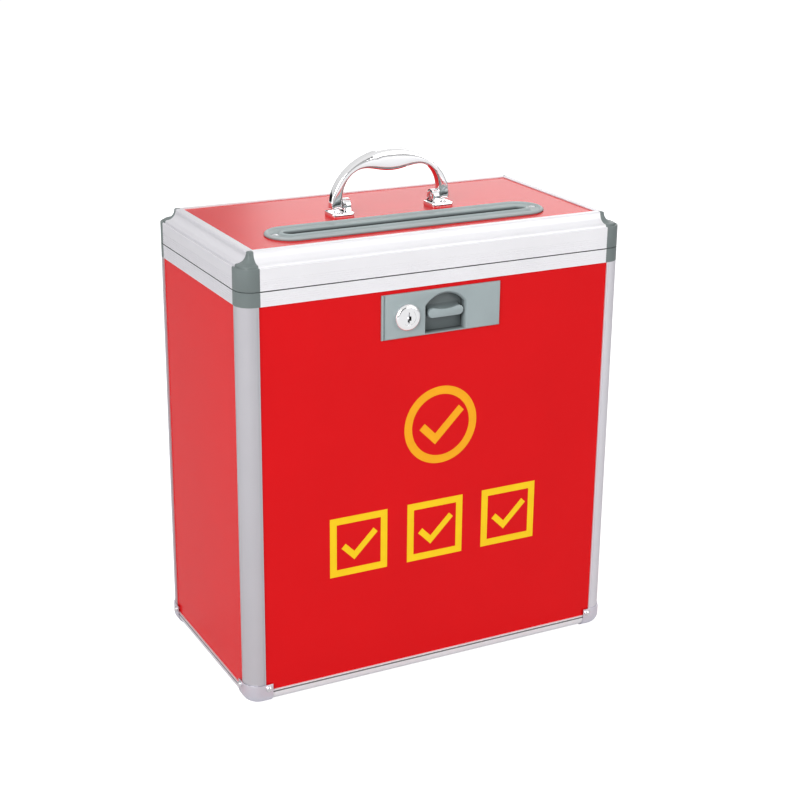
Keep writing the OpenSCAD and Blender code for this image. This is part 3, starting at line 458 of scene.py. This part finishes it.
# The floor's glow is added for the camera, and its shine for mirrors. worldShine is what
# mirrors see of the world, level and overhead.
studio = {
    "floorSize": 60, "floorDrop": 0.0004, "floorColour": (0.60, 0.60, 0.61),
    "floorGlow": 0.86, "floorShine": 0.22,
    "worldLight": 0.28, "worldSeen": 1.0, "worldShine": (0.62, 0.84), "shineTop": 0.7,
    "lampAim": (0, 0, 0.22),
    "lamps": {
        "key": {"at": (-2.3, -2.0, 1.7), "size": (1.8, 1.8), "power": 74},
        "fill": {"at": (1.6, -2.4, 1.2), "size": (1.6, 2.0), "power": 27},
        "top": {"at": (0.1, 0.2, 2.6), "size": (2.2, 2.2), "power": 20, "mirrored": False},
        "side": {"at": (-2.5, 0.3, 0.5), "size": (1.4, 0.8), "power": 9},
        "rear": {"at": (2.2, 2.7, 1.3), "size": (2.4, 1.4), "power": 16},
    },
    "flags": {
        "flagFront": {"at": (0.6, -3.4, 1.5), "size": (5.0, 1.0)},
        "flagLeft": {"at": (-3.0, 0.6, 0.9), "size": (1.2, 1.9)},
        "flagBack": {"at": (0.3, 3.2, 0.4), "size": (8.0, 0.75)},
    },
    "flagColour": (0.02, 0.02, 0.022),
}


def addFloor():
    pickNothing()
    bpy.ops.mesh.primitive_plane_add(size=studio["floorSize"],
                                     location=(0, 0, -studio["floorDrop"]))
    floor = bpy.context.object
    floor.name = "studioFloor"
    material = bpy.data.materials.new("floorPaper")
    material.use_nodes = True
    tree = material.node_tree
    tree.nodes.clear()
    paper = tree.nodes.new("ShaderNodeBsdfDiffuse")
    paper.inputs["Color"].default_value = (*studio["floorColour"], 1)
    glow = tree.nodes.new("ShaderNodeEmission")
    strength = tree.nodes.new("ShaderNodeMath")
    strength.operation = "MULTIPLY_ADD"
    strength.inputs[1].default_value = studio["floorGlow"]
    both = tree.nodes.new("ShaderNodeAddShader")
    out = tree.nodes.new("ShaderNodeOutputMaterial")
    rays = tree.nodes.new("ShaderNodeLightPath")
    shine = tree.nodes.new("ShaderNodeMath")
    shine.operation = "MULTIPLY"
    shine.inputs[1].default_value = studio["floorShine"]
    tree.links.new(rays.outputs["Is Glossy Ray"], shine.inputs[0])
    tree.links.new(rays.outputs["Is Camera Ray"], strength.inputs[0])
    tree.links.new(shine.outputs[0], strength.inputs[2])
    tree.links.new(strength.outputs[0], glow.inputs["Strength"])
    tree.links.new(paper.outputs[0], both.inputs[0])
    tree.links.new(glow.outputs[0], both.inputs[1])
    tree.links.new(both.outputs[0], out.inputs["Surface"])
    floor.data.materials.append(material)


def addWorld():
    world = bpy.data.worlds.new("studioAir")
    bpy.context.scene.world = world
    world.use_nodes = True
    tree = world.node_tree
    back = tree.nodes["Background"]
    back.inputs["Color"].default_value = (1, 1, 1, 1)
    rays = tree.nodes.new("ShaderNodeLightPath")
    seen = tree.nodes.new("ShaderNodeMapRange")
    seen.inputs["To Min"].default_value = studio["worldLight"]
    seen.inputs["To Max"].default_value = studio["worldSeen"]
    tree.links.new(rays.outputs["Is Camera Ray"], seen.inputs["Value"])
    place = tree.nodes.new("ShaderNodeTexCoord")
    apart = tree.nodes.new("ShaderNodeSeparateXYZ")
    tree.links.new(place.outputs["Generated"], apart.inputs[0])
    shine = tree.nodes.new("ShaderNodeMapRange")
    shine.inputs["From Max"].default_value = studio["shineTop"]
    shine.inputs["To Min"].default_value = studio["worldShine"][0] - studio["worldLight"]
    shine.inputs["To Max"].default_value = studio["worldShine"][1] - studio["worldLight"]
    tree.links.new(apart.outputs["Z"], shine.inputs["Value"])
    total = tree.nodes.new("ShaderNodeMath")
    total.operation = "MULTIPLY_ADD"
    tree.links.new(rays.outputs["Is Glossy Ray"], total.inputs[0])
    tree.links.new(shine.outputs["Result"], total.inputs[1])
    tree.links.new(seen.outputs["Result"], total.inputs[2])
    tree.links.new(total.outputs[0], back.inputs["Strength"])


def addLamp(name, lamp, aim):
    light = bpy.data.lights.new(name, "AREA")
    light.shape = "RECTANGLE"
    light.size, light.size_y = lamp["size"]
    light.energy = lamp["power"]
    holder = bpy.data.objects.new(name, light)
    bpy.context.collection.objects.link(holder)
    holder.location = lamp["at"]
    holder.rotation_euler = (aim - Vector(lamp["at"])).to_track_quat("-Z", "Y").to_euler()
    holder.visible_camera = False
    holder.visible_glossy = lamp.get("mirrored", True)


def makeFlagCloth():
    cloth = bpy.data.materials.new("flagCloth")
    cloth.use_nodes = True
    shader = cloth.node_tree.nodes["Principled BSDF"]
    shader.inputs["Base Color"].default_value = (*studio["flagColour"], 1)
    shader.inputs["Specular IOR Level"].default_value = 0
    return cloth


def addFlag(name, flag, cloth):
    pickNothing()
    aim = Vector((0, 0, flag["at"][2])) - Vector(flag["at"])
    turn = aim.to_track_quat("Z", "Y").to_euler()
    bpy.ops.mesh.primitive_plane_add(size=1, location=flag["at"], rotation=turn)
    card = bpy.context.object
    card.name = name
    card.scale = (*flag["size"], 1)
    card.visible_camera = False
    card.visible_diffuse = False
    card.visible_shadow = False
    card.data.materials.append(cloth)


cameraView = {"azimuth": -27.47, "elevation": 19.594, "roll": 0.618, "distance": 1.5504,
              "aim": (0.0127, 0, 0.2251), "lens": 74.5, "sensor": 36}


def addCamera():
    turn, rise = math.radians(cameraView["azimuth"]), math.radians(cameraView["elevation"])
    back = Vector((math.sin(turn) * math.cos(rise), -math.cos(turn) * math.cos(rise),
                   math.sin(rise)))
    lens = bpy.data.cameras.new("photoCamera")
    lens.lens = cameraView["lens"]
    lens.sensor_width = cameraView["sensor"]
    camera = bpy.data.objects.new("photoCamera", lens)
    bpy.context.collection.objects.link(camera)
    level = (-back).to_track_quat("-Z", "Y").to_matrix().to_4x4()
    roll = Matrix.Rotation(math.radians(cameraView["roll"]), 4, "Z")
    place = Matrix.Translation(Vector(cameraView["aim"]) + back * cameraView["distance"])
    camera.matrix_world = place @ level @ roll
    bpy.context.scene.camera = camera


addFloor()
addWorld()
for name, lamp in studio["lamps"].items():
    addLamp(name + "Lamp", lamp, Vector(studio["lampAim"]))
flagCloth = makeFlagCloth()
for name, flag in studio["flags"].items():
    addFlag(name, flag, flagCloth)
addCamera()
bpy.context.scene.view_settings.view_transform = "Standard"
print("studio ready")
